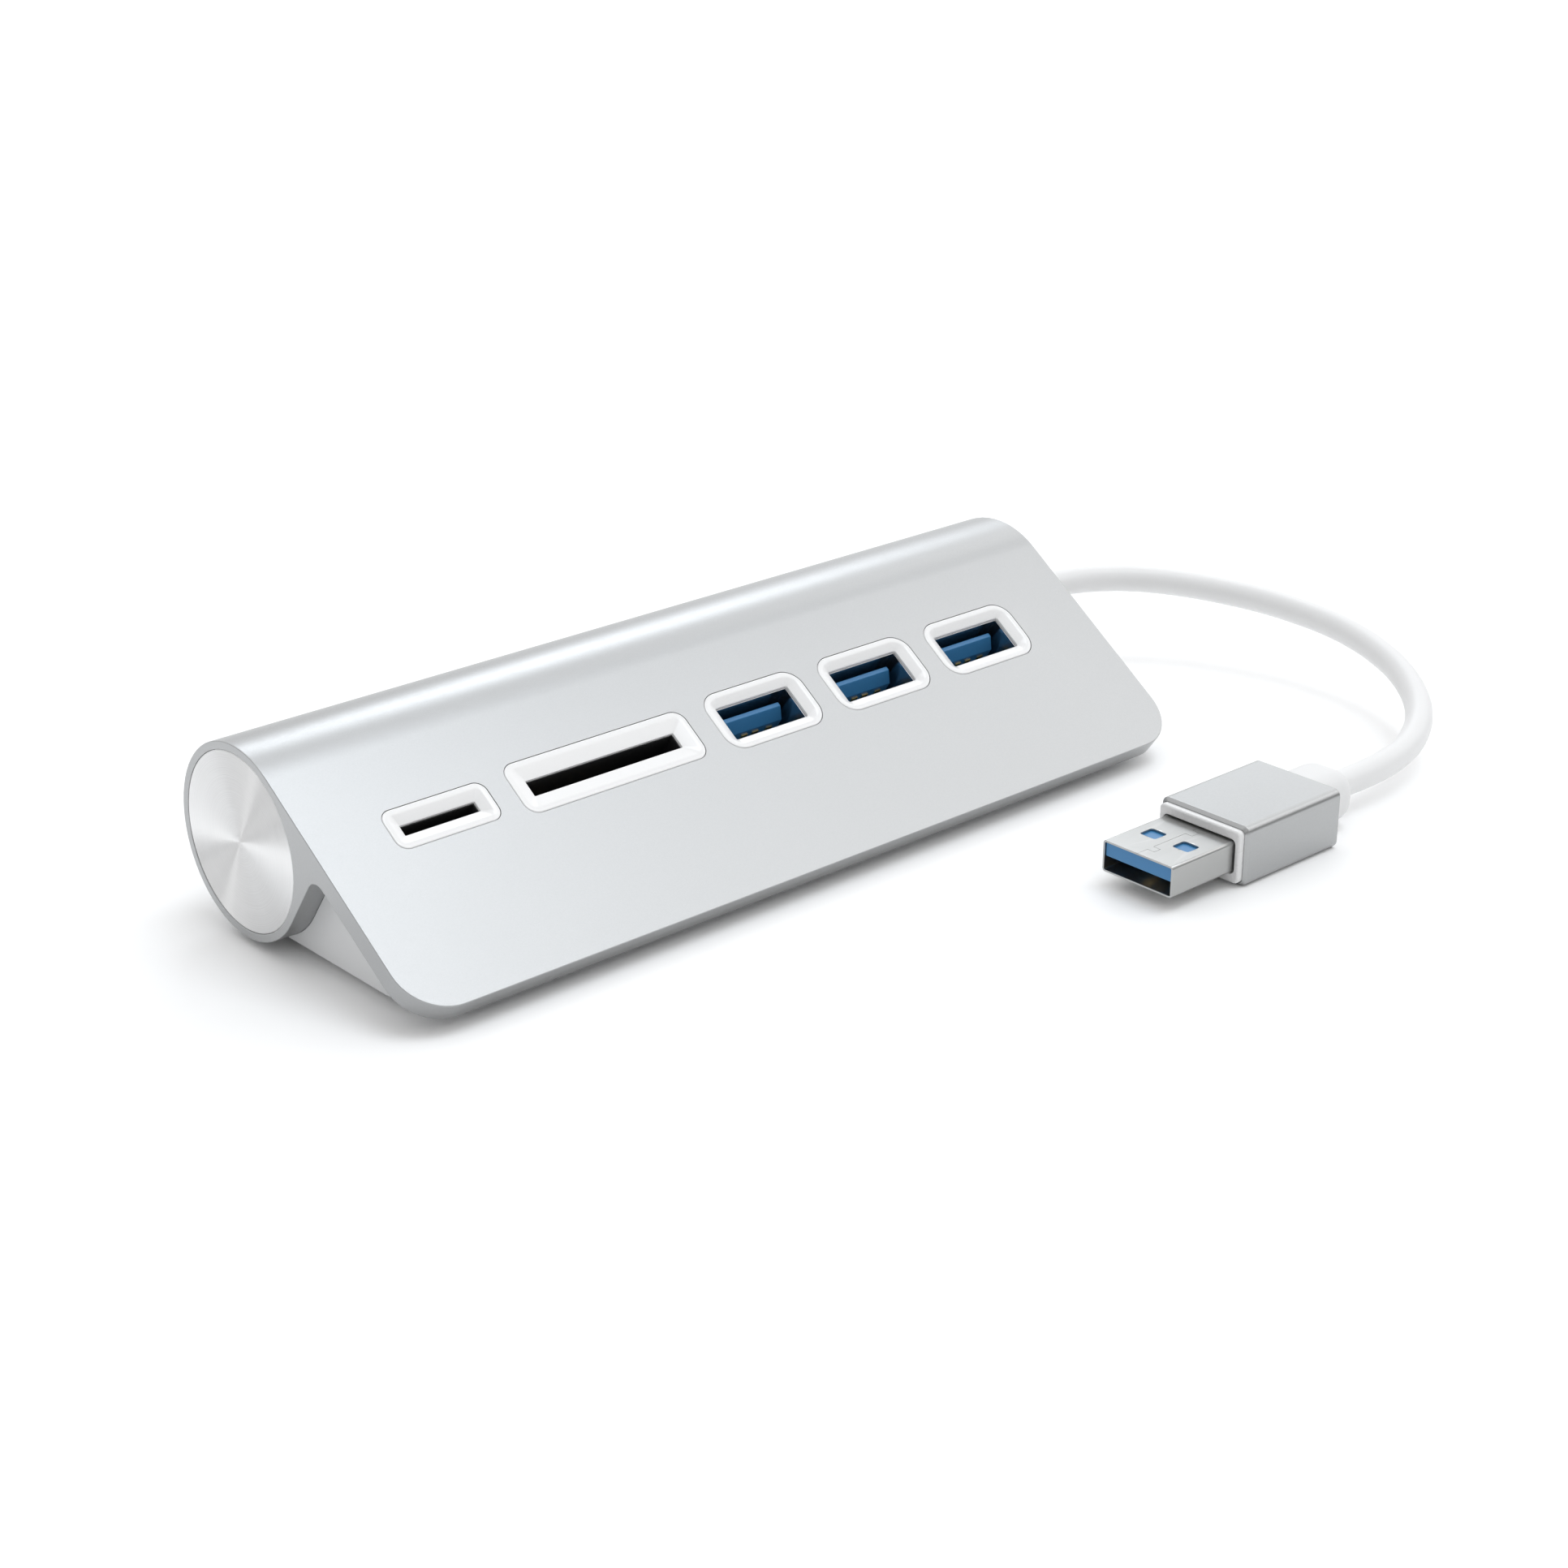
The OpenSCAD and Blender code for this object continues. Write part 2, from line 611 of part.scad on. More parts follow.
// The lead, swept along its route with one ring of points at each of the route's points
module cable() {
    last = len(ROUTE) - 1;
    points = [for (i = [0:last]) each ring(i)];
    walls = [for (i = [0:last - 1], k = [0:CORD_SIDES - 1]) let (n = (k + 1) % CORD_SIDES)
        [i * CORD_SIDES + k, i * CORD_SIDES + n,
         (i + 1) * CORD_SIDES + n, (i + 1) * CORD_SIDES + k]];
    near_end = [[for (k = [CORD_SIDES - 1:-1:0]) k]];
    far_end = [[for (k = [0:CORD_SIDES - 1]) last * CORD_SIDES + k]];
    color("white") polyhedron(points = points, faces = concat(walls, near_end, far_end));
}

module on_plug() {
    translate([0, plug_y, plug_z]) children();
}

module plug_strain_relief() {
    relief_end = sleeve_back + RELIEF_L;
    color("white") on_plug() difference() {
        along_x(sleeve_back, relief_end) rounded_rect(RELIEF[0], RELIEF[1], RELIEF_R);
        along_x(ROUTE[len(ROUTE) - 1][0], relief_end + OVER) circle(r = cord_r + CLOSE_GAP);
    }
}

module plug_sleeve() {
    color("darkgray") on_plug() along_x(sleeve_x, sleeve_back) difference() {
        rounded_rect(sleeve_w, sleeve_h, SLEEVE_R);
        rounded_rect(sleeve_w - 2 * SLEEVE_WALL, sleeve_h - 2 * SLEEVE_WALL, SLEEVE_R - SLEEVE_WALL);
    }
}

module plug_core() {
    inset = 2 * (SLEEVE_WALL + CLOSE_GAP);
    recess = [PLUG_SHELL[0] + 2 * CORE_RECESS_GAP, PLUG_SHELL[1] + 2 * CORE_RECESS_GAP];
    color("white") on_plug() difference() {
        along_x(core_front, sleeve_back)
            rounded_rect(sleeve_w - inset, sleeve_h - inset, SLEEVE_R - SLEEVE_WALL);
        along_x(core_front - OVER, core_front + CORE_RECESS)
            rounded_rect(recess[0], recess[1], PLUG_SHELL_R + CORE_RECESS_GAP);
        along_x(core_front - OVER, shell_tail_x)
            rounded_rect(PLUG_SHELL[0], PLUG_SHELL[1], PLUG_SHELL_R);
    }
}

module plug_shell() {
    color("silver") on_plug() difference() {
        along_x(plug_mouth_x, shell_tail_x) difference() {
            rounded_rect(PLUG_SHELL[0], PLUG_SHELL[1], PLUG_SHELL_R);
            rounded_rect(plug_inner[0], plug_inner[1], PLUG_INNER_R);
        }
        for (side = [-1, 1])
            translate([plug_mouth_x + WINDOW_X, side * WINDOW_SIDE - WINDOW[1] / 2, -PLUG_SHELL[1]])
                cube([WINDOW[0], WINDOW[1], 2 * PLUG_SHELL[1]]);
    }
}

// Blue tongue along the top of the plug's mouth, joined to the block that closes the shell
module plug_insulator() {
    half = [plug_inner[0] / 2 - CLOSE_GAP, plug_inner[1] / 2 - CLOSE_GAP];
    color("steelblue") on_plug() union() {
        translate([plug_mouth_x + PLUG_TONGUE_IN, -half[0], half[1] - PLUG_TONGUE_T])
            cube([shell_l - PLUG_TONGUE_IN, 2 * half[0], PLUG_TONGUE_T]);
        translate([core_front, -half[0], -half[1]]) cube([SHELL_TAIL, 2 * half[0], 2 * half[1]]);
    }
}

// Four long strips near the mouth and five short springs behind them, under the tongue
module plug_contacts() {
    face = plug_inner[1] / 2 - CLOSE_GAP - PLUG_TONGUE_T;
    strip = [7.5, 1, 0.15];
    spring = [2, 0.6, 0.35];
    color("goldenrod") on_plug() {
        for (y = [-3.5, -1, 1, 3.5])
            translate([plug_mouth_x + 1, y - strip[1] / 2, face - strip[2]]) cube(strip);
        for (i = [-2:2])
            translate([plug_mouth_x + 9, 2 * i - spring[1] / 2, face - spring[2]]) cube(spring);
    }
}

body_extrusion();
base_cover();
base_screws();
rubber_foot(0);  // rubber_foot_1
rubber_foot(1);  // rubber_foot_2
rubber_foot(2);  // rubber_foot_3
rubber_foot(3);  // rubber_foot_4
end_cap(-1, 0);  // end_cap_left
end_plug(-1, 0, 0, 0);  // end_plug_left
end_cap(1, BOOT_R + CLOSE_GAP);  // end_cap_right
end_plug(1, cord_r + GAP, BOOT_FLANGE_R + CLOSE_GAP, BOOT_FLANGE_T);  // end_plug_right
cable_boot();
bezel(microsd_x, MICROSD_BEZEL, MICROSD_OPEN, MICROSD_BODY);  // bezel_microsd
bezel(sd_x, SD_BEZEL, SD_OPEN, SD_BODY);  // bezel_sd
bezel(usb_xs[0], USB_BEZEL, USB_OPEN, USB_SHELL);  // bezel_usb_1
bezel(usb_xs[1], USB_BEZEL, USB_OPEN, USB_SHELL);  // bezel_usb_2
bezel(usb_xs[2], USB_BEZEL, USB_OPEN, USB_SHELL);  // bezel_usb_3
usb_shell(usb_xs[0]);  // usb_shell_1
usb_shell(usb_xs[1]);  // usb_shell_2
usb_shell(usb_xs[2]);  // usb_shell_3
usb_insulator(usb_xs[0]);  // usb_insulator_1
usb_insulator(usb_xs[1]);  // usb_insulator_2
usb_insulator(usb_xs[2]);  // usb_insulator_3
usb_contacts(usb_xs[0]);  // usb_contacts_1
usb_contacts(usb_xs[1]);  // usb_contacts_2
usb_contacts(usb_xs[2]);  // usb_contacts_3
card_socket(sd_x, SD_BODY, SD_SLOT, "black");  // sd_socket
card_cover(sd_x, SD_BODY);  // sd_socket_cover
card_contacts(sd_x, 9, 2.5, SD_SLOT);  // sd_contacts
card_socket(microsd_x, MICROSD_BODY, MICROSD_SLOT, "black");  // microsd_socket
card_cover(microsd_x, MICROSD_BODY);  // microsd_socket_cover
card_contacts(microsd_x, 8, 1.1, MICROSD_SLOT);  // microsd_contacts
circuit_board();
board_screws();
hub_chip();
card_reader_chip();
crystal();
voltage_regulator();
capacitors();
cable_header();
cable_leads();
cable();
plug_strain_relief();
plug_sleeve();
plug_core();
plug_shell();
plug_insulator();
plug_contacts();
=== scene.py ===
import json
import math

import bmesh
import bpy
from mathutils import Matrix, Vector


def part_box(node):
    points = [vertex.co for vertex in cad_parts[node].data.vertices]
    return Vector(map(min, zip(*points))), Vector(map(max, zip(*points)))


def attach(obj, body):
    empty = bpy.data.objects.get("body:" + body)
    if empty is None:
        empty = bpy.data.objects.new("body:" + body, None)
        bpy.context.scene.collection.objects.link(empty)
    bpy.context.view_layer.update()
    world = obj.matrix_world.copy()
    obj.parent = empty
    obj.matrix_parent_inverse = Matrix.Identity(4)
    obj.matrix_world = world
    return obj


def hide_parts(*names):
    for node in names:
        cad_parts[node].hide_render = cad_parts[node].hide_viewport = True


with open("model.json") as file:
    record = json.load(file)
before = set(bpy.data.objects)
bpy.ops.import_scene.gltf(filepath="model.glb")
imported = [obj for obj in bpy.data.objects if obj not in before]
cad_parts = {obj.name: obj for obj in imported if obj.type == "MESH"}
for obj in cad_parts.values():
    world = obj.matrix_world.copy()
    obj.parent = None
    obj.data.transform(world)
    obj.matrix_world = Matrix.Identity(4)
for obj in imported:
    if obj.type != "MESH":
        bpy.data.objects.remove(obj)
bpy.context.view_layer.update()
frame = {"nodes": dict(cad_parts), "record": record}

MM = 0.001
NODES = frame["nodes"]
scene = bpy.context.scene
scene.view_settings.view_transform = "Standard"

# ---------------------------------------------------------------- camera

CAMERA_AT = Vector((-0.2380, -0.27805, 0.16183))
CAMERA_FORWARD = Vector((0.616675, 0.683617, -0.390358))
CAMERA_LENS = 66.57


def add_camera():
    """The camera at the photograph's viewing angle."""
    data = bpy.data.cameras.new("camera")
    data.lens = CAMERA_LENS
    data.sensor_width = 36
    camera = bpy.data.objects.new("camera", data)
    camera.location = CAMERA_AT
    camera.rotation_euler = CAMERA_FORWARD.to_track_quat("-Z", "Y").to_euler()
    scene.collection.objects.link(camera)
    scene.camera = camera


# ---------------------------------------------------------------- places taken from the frame

SLOPE = math.radians(35)


def middle(node):
    """The middle of a CAD node's box."""
    low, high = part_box(node)
    return (low + high) / 2


TUBE = middle("end_cap_left")
TO_ROW = Matrix.Translation((0, TUBE.y, TUBE.z)) @ Matrix.Rotation(SLOPE, 4, "X")
TO_PLATE = TO_ROW.inverted()


def plate_box(node):
    """Lowest and highest corner of a node in the plate's axes: x along, y up the slope, z out."""
    points = [TO_PLATE @ v.co for v in NODES[node].data.vertices]
    low = Vector([min(p[i] for p in points) for i in range(3)])
    high = Vector([max(p[i] for p in points) for i in range(3)])
    return low, high


# ---------------------------------------------------------------- materials


class Surface:
    """A principled material with helpers that add procedural colour, gloss and relief."""

    def __init__(self, name, colour, roughness, metallic=0.0, **sockets):
        self.material = bpy.data.materials.new(name)
        self.material.use_nodes = True
        self.tree = self.material.node_tree
        self.shader = self.tree.nodes["Principled BSDF"]
        self.colour = (*colour, 1)
        self.roughness = roughness
        self.set("Base Color", self.colour)
        self.set("Roughness", roughness)
        self.set("Metallic", metallic)
        for socket, value in sockets.items():
            self.set(socket.replace("_", " "), value)
        self.position = self.node("ShaderNodeTexCoord").outputs["Object"]
        self.colour_output = None
        self.normal_output = None

    def node(self, kind, **settings):
        made = self.tree.nodes.new(kind)
        for key, value in settings.items():
            setattr(made, key, value)
        return made

    def link(self, output, socket):
        self.tree.links.new(output, socket)

    def set(self, socket, value):
        self.shader.inputs[socket].default_value = value

    def noise(self, size, detail=2.0, stretch=(1, 1, 1)):
        """Noise whose grains are about size metres across, stretched along some axes."""
        scale = self.node("ShaderNodeMapping")
        scale.inputs["Scale"].default_value = stretch
        self.link(self.position, scale.inputs["Vector"])
        noise = self.node("ShaderNodeTexNoise")
        noise.inputs["Scale"].default_value = 1 / size
        noise.inputs["Detail"].default_value = detail
        self.link(scale.outputs["Vector"], noise.inputs["Vector"])
        return noise.outputs["Fac"]

    def spread(self, factor, low, high, start=0.3, stop=0.7):
        """Maps a factor from start..stop to low..high."""
        mapped = self.node("ShaderNodeMapRange")
        mapped.inputs["From Min"].default_value = start
        mapped.inputs["From Max"].default_value = stop
        mapped.inputs["To Min"].default_value = low
        mapped.inputs["To Max"].default_value = high
        self.link(factor, mapped.inputs["Value"])
        return mapped.outputs["Result"]

    def tint(self, factor, colour):
        """Mixes the base colour towards colour by factor."""
        mix = self.node("ShaderNodeMix", data_type="RGBA")
        self.link(factor, mix.inputs["Factor"])
        if self.colour_output is None:
            mix.inputs["A"].default_value = self.colour
        else:
            self.link(self.colour_output, mix.inputs["A"])
        mix.inputs["B"].default_value = (*colour, 1)
        self.colour_output = mix.outputs["Result"]
        self.link(self.colour_output, self.shader.inputs["Base Color"])
        return self

    def gloss(self, factor, swing):
        """Varies the roughness by swing either side of its mean."""
        varied = self.spread(factor, self.roughness - swing, self.roughness + swing)
        self.link(varied, self.shader.inputs["Roughness"])
        return self

    def relief(self, height, depth):
        """Adds a bump of about depth metres."""
        bump = self.node("ShaderNodeBump")
        bump.inputs["Distance"].default_value = depth
        self.link(height, bump.inputs["Height"])
        if self.normal_output is not None:
            self.link(self.normal_output, bump.inputs["Normal"])
        self.normal_output = bump.outputs["Normal"]
        self.link(self.normal_output, self.shader.inputs["Normal"])
        return self

    def edges(self, colour, start=0.52, stop=0.62, amount=0.5):
        """Tints the convex edges towards colour."""
        point = self.node("ShaderNodeNewGeometry").outputs["Pointiness"]
        return self.tint(self.spread(point, 0, amount, start, stop), colour)


def scaled(colour, factor):
    """A paler or darker copy of a colour."""
    return tuple(min(1, c * factor) for c in colour)


def blasted_aluminium(name, colour, roughness=0.36):
    """Bead-blasted and clear anodised: a fine sparkle, faint clouds and paler convex edges."""
    grain_size, gloss_size, cloud_size = 0.16 * MM, 0.3 * MM, 14 * MM
    s = Surface(name, colour, roughness, metallic=1.0)
    grain = s.noise(grain_size, 3)
    clouds = s.noise(cloud_size)
    s.tint(s.spread(grain, 0, 0.35), scaled(colour, 0.86))
    s.tint(s.spread(clouds, 0, 0.25), scaled(colour, 0.95))
    s.edges(scaled(colour, 1.25))
    s.gloss(s.noise(gloss_size), 0.04)
    s.relief(grain, 0.004 * MM)
    return s.material


def turned_aluminium(name, colour, roughness=0.53):
    """Face-turned: the gloss is drawn out across rings about the tube's axis."""
    ring_size, cloud_size = 0.12 * MM, 6 * MM
    s = Surface(name, colour, roughness, metallic=1.0, Anisotropic=1.0, Anisotropic_Rotation=0.25)
    tangent = s.node("ShaderNodeTangent", direction_type="RADIAL", axis="X")
    s.link(tangent.outputs["Tangent"], s.shader.inputs["Tangent"])
    centred = s.node("ShaderNodeVectorMath", operation="SUBTRACT")
    centred.inputs[1].default_value = TUBE
    s.link(s.position, centred.inputs[0])
    flat = s.node("ShaderNodeVectorMath", operation="MULTIPLY")
    flat.inputs[1].default_value = (0, 1, 1)
    s.link(centred.outputs["Vector"], flat.inputs[0])
    radius = s.node("ShaderNodeVectorMath", operation="LENGTH")
    s.link(flat.outputs["Vector"], radius.inputs[0])
    rings = s.node("ShaderNodeTexNoise", noise_dimensions="1D")
    rings.inputs["Scale"].default_value = 1 / ring_size
    rings.inputs["Detail"].default_value = 3
    s.link(radius.outputs["Value"], rings.inputs["W"])
    ring = rings.outputs["Fac"]
    s.tint(s.spread(ring, 0, 0.4), scaled(colour, 0.86))
    s.tint(s.spread(s.noise(cloud_size), 0, 0.15), scaled(colour, 0.94))
    s.gloss(ring, 0.05)
    s.relief(ring, 0.003 * MM)
    return s.material


def moulded(name, colour, roughness=0.35, texture=0.25 * MM, depth=0.004 * MM, **sockets):
    """Moulded plastic or rubber with a fine texture and slightly paler edges."""
    cloud_size, gloss_size = 7 * MM, 1.5 * MM
    s = Surface(name, colour, roughness, **sockets)
    grain = s.noise(texture)
    s.tint(s.spread(grain, 0, 0.2), scaled(colour, 0.94))
    s.tint(s.spread(s.noise(cloud_size), 0, 0.2), scaled(colour, 0.96))
    s.edges(scaled(colour, 1.06), amount=0.3)
    s.gloss(s.noise(gloss_size), 0.02)
    s.relief(grain, depth)
    return s.material


def plated(name, colour, roughness=0.25, along=(0.08, 1, 1)):
    """Plated sheet metal with fine drawing lines, drawn out on the axis whose scale is small."""
    line_size, cloud_size = 0.12 * MM, 3 * MM
    s = Surface(name, colour, roughness, metallic=1.0)
    lines = s.noise(line_size, 3, along)
    s.tint(s.spread(lines, 0, 0.1), scaled(colour, 0.9))
    s.tint(s.spread(s.noise(cloud_size), 0, 0.2), scaled(colour, 0.93))
    s.edges(scaled(colour, 1.2), amount=0.4)
    s.gloss(lines, 0.012)
    s.relief(lines, 0.0006 * MM)
    return s.material


MATERIALS = {
    "body_aluminium": blasted_aluminium("body_aluminium", (0.442, 0.448, 0.452)),
    "sleeve_aluminium": blasted_aluminium("sleeve_aluminium", (0.430, 0.436, 0.438), 0.34),
    "spun_aluminium": turned_aluminium("spun_aluminium", (1.0, 1.0, 1.0)),
    "base_plastic": moulded("base_plastic", (0.72, 0.725, 0.73), 0.45, depth=0.008 * MM),
    "bezel_plastic": moulded("bezel_plastic", (0.85, 0.85, 0.85), 0.22, depth=0.001 * MM,
                             Coat_Weight=0.3, Coat_Roughness=0.08),
    "white_plastic": moulded("white_plastic", (0.78, 0.78, 0.78), 0.28, depth=0.002 * MM),
    "white_rubber": moulded("white_rubber", (0.76, 0.76, 0.76), 0.5, depth=0.004 * MM),
    "cable_jacket": moulded("cable_jacket", (0.79, 0.79, 0.79), 0.42, depth=0.003 * MM),
    "inner_plastic": moulded("inner_plastic", (0.45, 0.45, 0.46), 0.5),
    "black_plastic": moulded("black_plastic", (0.022, 0.022, 0.023), 0.35),
    "blue_plastic": moulded("blue_plastic", (0.040, 0.20, 0.43), 0.32, depth=0.002 * MM),
    "header_plastic": moulded("header_plastic", (0.75, 0.70, 0.58), 0.4),
    "foot_rubber": moulded("foot_rubber", (0.22, 0.22, 0.23), 0.7, depth=0.012 * MM),
    "wire_insulation": moulded("wire_insulation", (0.45, 0.08, 0.06), 0.4),
    "board_laminate": moulded("board_laminate", (0.01, 0.09, 0.03), 0.3, 0.5 * MM),
    "port_steel": plated("port_steel", (0.50, 0.50, 0.51), 0.22, (1, 1, 0.08)),
    "plug_steel": plated("plug_steel", (0.43, 0.433, 0.427), 0.30),
    "screw_steel": plated("screw_steel", (0.35, 0.35, 0.36), 0.35, (1, 1, 1)),
    "gold_contact": plated("gold_contact", (0.85, 0.60, 0.22), 0.25),
    "capacitor_can": plated("capacitor_can", (0.50, 0.52, 0.55), 0.3, (1, 1, 0.1)),
}

# ---------------------------------------------------------------- mesh helpers


MERGE = 0.0005 * MM
CAD_MERGE = 0.002 * MM
FLAT = math.radians(0.4)
SHARP = math.radians(30)
CORNER_STEPS = 5


def show(name, bm, replaced, sharp=32):
    """Turns a finished bmesh into a piece that stands for the CAD nodes in replaced.

    Edges that turn by more than sharp degrees are shaded as sharp.
    """
    bmesh.ops.remove_doubles(bm, verts=bm.verts, dist=MERGE)
    bmesh.ops.recalc_face_normals(bm, faces=bm.faces)
    for face in bm.faces:
        face.smooth = True
    for edge in bm.edges:
        edge.smooth = not (edge.is_manifold and edge.calc_face_angle() > math.radians(sharp))
    mesh = bpy.data.meshes.new(name)
    bm.to_mesh(mesh)
    bm.free()
    piece = bpy.data.objects.new(name, mesh)
    scene.collection.objects.link(piece)
    weighted = piece.modifiers.new("weighted", "WEIGHTED_NORMAL")
    weighted.keep_sharp = True
    slot = slot_of(replaced[0])
    mesh.materials.append(MATERIALS[slot])
    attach(piece, "root")
    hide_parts(*replaced)
    return piece


def slot_of(node):
    """The material slot that the record gives a CAD node."""
    for part in frame["record"]["subparts"]:
        if part["node"] == node:
            return part["material_slot"]
    raise ValueError(node)


def round_edges(bm, edges, width, segments):
    """Rounds edges by width, in so many steps."""
    bmesh.ops.bevel(bm, geom=edges, offset=width, offset_type="OFFSET", segments=segments,
                    profile=0.5, affect="EDGES", clamp_overlap=False)


def clean_copy(node, cuts=()):
    """A CAD node's mesh with its triangles joined into flat faces.

    cuts are (point, normal) planes that divide the faces round a hole, so that each face
    has one plain outline.
    """
    bm = bmesh.new()
    bm.from_mesh(NODES[node].data)
    bmesh.ops.remove_doubles(bm, verts=bm.verts, dist=CAD_MERGE)
    for point, normal in cuts:
        made = bmesh.ops.bisect_plane(bm, geom=bm.verts[:] + bm.edges[:] + bm.faces[:],
                                      plane_co=point, plane_no=normal)["geom_cut"]
        for edge in made:
            if isinstance(edge, bmesh.types.BMEdge):
                edge.seam = True
    bmesh.ops.dissolve_limit(bm, angle_limit=FLAT, verts=bm.verts, edges=bm.edges,
                             delimit={"SEAM"})
    return bm


def softened(node, width, segments=2, fine=None, keep=None, corners=None, cuts=()):
    """A copy of a CAD node with its sharp edges rounded.

    keep(edge) chooses the edges, and fine is a width for the others. corners is a
    (choose, width) pair for edges that are rounded before the rest. cuts are as in
    clean_copy.
    """
    bm = clean_copy(node, cuts)
    if corners:
        choose, radius = corners
        round_edges(bm, [e for e in bm.edges if choose(e)], radius, CORNER_STEPS)
    sharp = [e for e in bm.edges if e.is_manifold and e.calc_face_angle() > SHARP]
    chosen = [e for e in sharp if keep is None or keep(e)]
    others = [e for e in sharp if e not in set(chosen)]
    round_edges(bm, chosen, width, segments)
    if fine:
        round_edges(bm, [e for e in others if e.is_valid], fine, 1)
    return show(node + "_piece", bm, [node])


def rounded_rectangle(width, height, radius, per_corner=8):
    """Points of a rounded rectangle about the origin, anticlockwise, as (x, y) pairs."""
    points = []
    for quarter in range(4):
        sx = 1 if quarter in (0, 3) else -1
        sy = 1 if quarter in (0, 1) else -1
        for step in range(per_corner + 1):
            a = math.radians(90 * quarter + 90 * step / per_corner)
            points.append((sx * (width / 2 - radius) + radius * math.cos(a),
                           sy * (height / 2 - radius) + radius * math.sin(a)))
    return points


def loft(bm, loops, closed_tube=False):
    """Joins loops of equal length with quads.

    closed_tube joins the last loop to the first. Otherwise both ends are capped.
    """
    rings = [[bm.verts.new(p) for p in loop] for loop in loops]
    count = len(rings[0])
    pairs = list(zip(rings, rings[1:]))
    if closed_tube:
        pairs.append((rings[-1], rings[0]))
    for a, b in pairs:
        for i in range(count):
            j = (i + 1) % count
            bm.faces.new((a[i], a[j], b[j], b[i]))
    if not closed_tube:
        bm.faces.new(rings[0])
        bm.faces.new(rings[-1])


def spin(bm, profile, segments, place):
    """Turns a closed profile of (radius, along) points about an axis; radius 0 meets it."""
    rings = []
    for radius, along in profile:
        if radius < 1e-9:
            rings.append([bm.verts.new(place(0, 0, along))])
            continue
        ring = []
        for i in range(segments):
            a = 2 * math.pi * i / segments
            ring.append(bm.verts.new(place(radius * math.cos(a), radius * math.sin(a), along)))
        rings.append(ring)
    for k, a in enumerate(rings):
        b = rings[(k + 1) % len(rings)]
        if len(a) == 1 and len(b) == 1:
            continue
        for i in range(segments):
            j = (i + 1) % segments
            corners = [a[i], a[j], b[j], b[i]] if len(a) > 1 and len(b) > 1 else None
            if corners is None:
                corners = [a[0], b[j], b[i]] if len(a) == 1 else [a[i], a[j], b[0]]
            bm.faces.new(corners)


# ---------------------------------------------------------------- the lead

CABLE_D = 4 * MM
ROUTE = [
    (60, 12.3, 14.1), (67, 12.3, 14.1), (74, 12.3, 14.1), (79, 12.1, 14), (84, 11.3, 13.8),
    (88.8, 9.6, 13.5), (93, 7, 13.2), (96.6, 3.6, 12.8), (99.6, -0.5, 12.4),
    (102, -5.3, 12), (103.9, -10.6, 11.6), (105.1, -16.3, 11.1), (105.5, -22.2, 10.6),
    (105.1, -28.1, 9.9), (103.7, -33.8, 9.1), (101.4, -39.2, 8.2), (98.2, -44, 7.2),
    (94.2, -48, 6.3), (89.5, -51, 5.5), (84.3, -53, 4.9), (78.8, -54, 4.6),
    (73.5, -54.2, 4.4), (68.5, -54, 4.3), (63, -54, 4.3),
]


def add_cable(with_pieces):
    """The lead as one open spline. with_pieces is not used."""
    data = bpy.data.curves.new("lead", "CURVE")
    data.dimensions = "3D"
    data.bevel_depth = CABLE_D / 2
    data.bevel_resolution = 10
    data.resolution_u = 6
    data.use_fill_caps = True
    spline = data.splines.new("BEZIER")
    spline.bezier_points.add(len(ROUTE) - 1)
    for point, place in zip(spline.bezier_points, ROUTE):
        point.co = Vector(place) * MM
        point.handle_left_type = point.handle_right_type = "AUTO"
    lead = bpy.data.objects.new("lead", data)
    scene.collection.objects.link(lead)
    data.materials.append(MATERIALS["cable_jacket"])
    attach(lead, "root")
    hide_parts("cable")


# ---------------------------------------------------------------- body, base and feet

POCKETS_X = 59 * MM
POCKETS_LOW, POCKETS_HIGH = -17.6 * MM, 7.5 * MM
BODY_ROUND, POCKET_ROUND = 0.12 * MM, 0.025 * MM
BASE_ROUND, LONG_EDGE = 0.2 * MM, 20 * MM
FOOT_ROUND = 0.12 * MM


def on_outside(edge):
    """True for the extrusion's outer edges, and not for its pockets and cut-outs."""
    for vert in edge.verts:
        p = TO_PLATE @ vert.co
        if abs(p.x) < POCKETS_X and POCKETS_LOW < p.y < POCKETS_HIGH:
            return False
    return True


def add_body():
    """The extrusion, the base, whose long edges alone are rounded, and the feet."""
    softened("body_extrusion", BODY_ROUND, 3, keep=on_outside, fine=POCKET_ROUND)
    softened("base_cover", BASE_ROUND, 2, keep=lambda e: e.calc_length() > LONG_EDGE)
    for i in range(1, 5):
        softened(f"rubber_foot_{i}", FOOT_ROUND)


# ---------------------------------------------------------------- end caps and boot

RING_PITCH = 0.33 * MM
RING_DEPTH = 0.03 * MM
DISC_CHAMFER = 0.08 * MM
CAP_HOLE_R = 3.45 * MM
BOOT_ROOT_R, BOOT_NOSE_R, BOOT_TIP_R = 3.4 * MM, 2.7 * MM, 0.5 * MM
BOOT_ROOM = 0.05 * MM
BOOT_FLANGE_T = 1 * MM
BOOT_COLLAR = 0.6 * MM
GROOVES = 3
GROOVE = [(0.25, 0.15), (0.35, 0.3), (0.35, 0.55), (0.1, 0.75), (0, 0.95)]


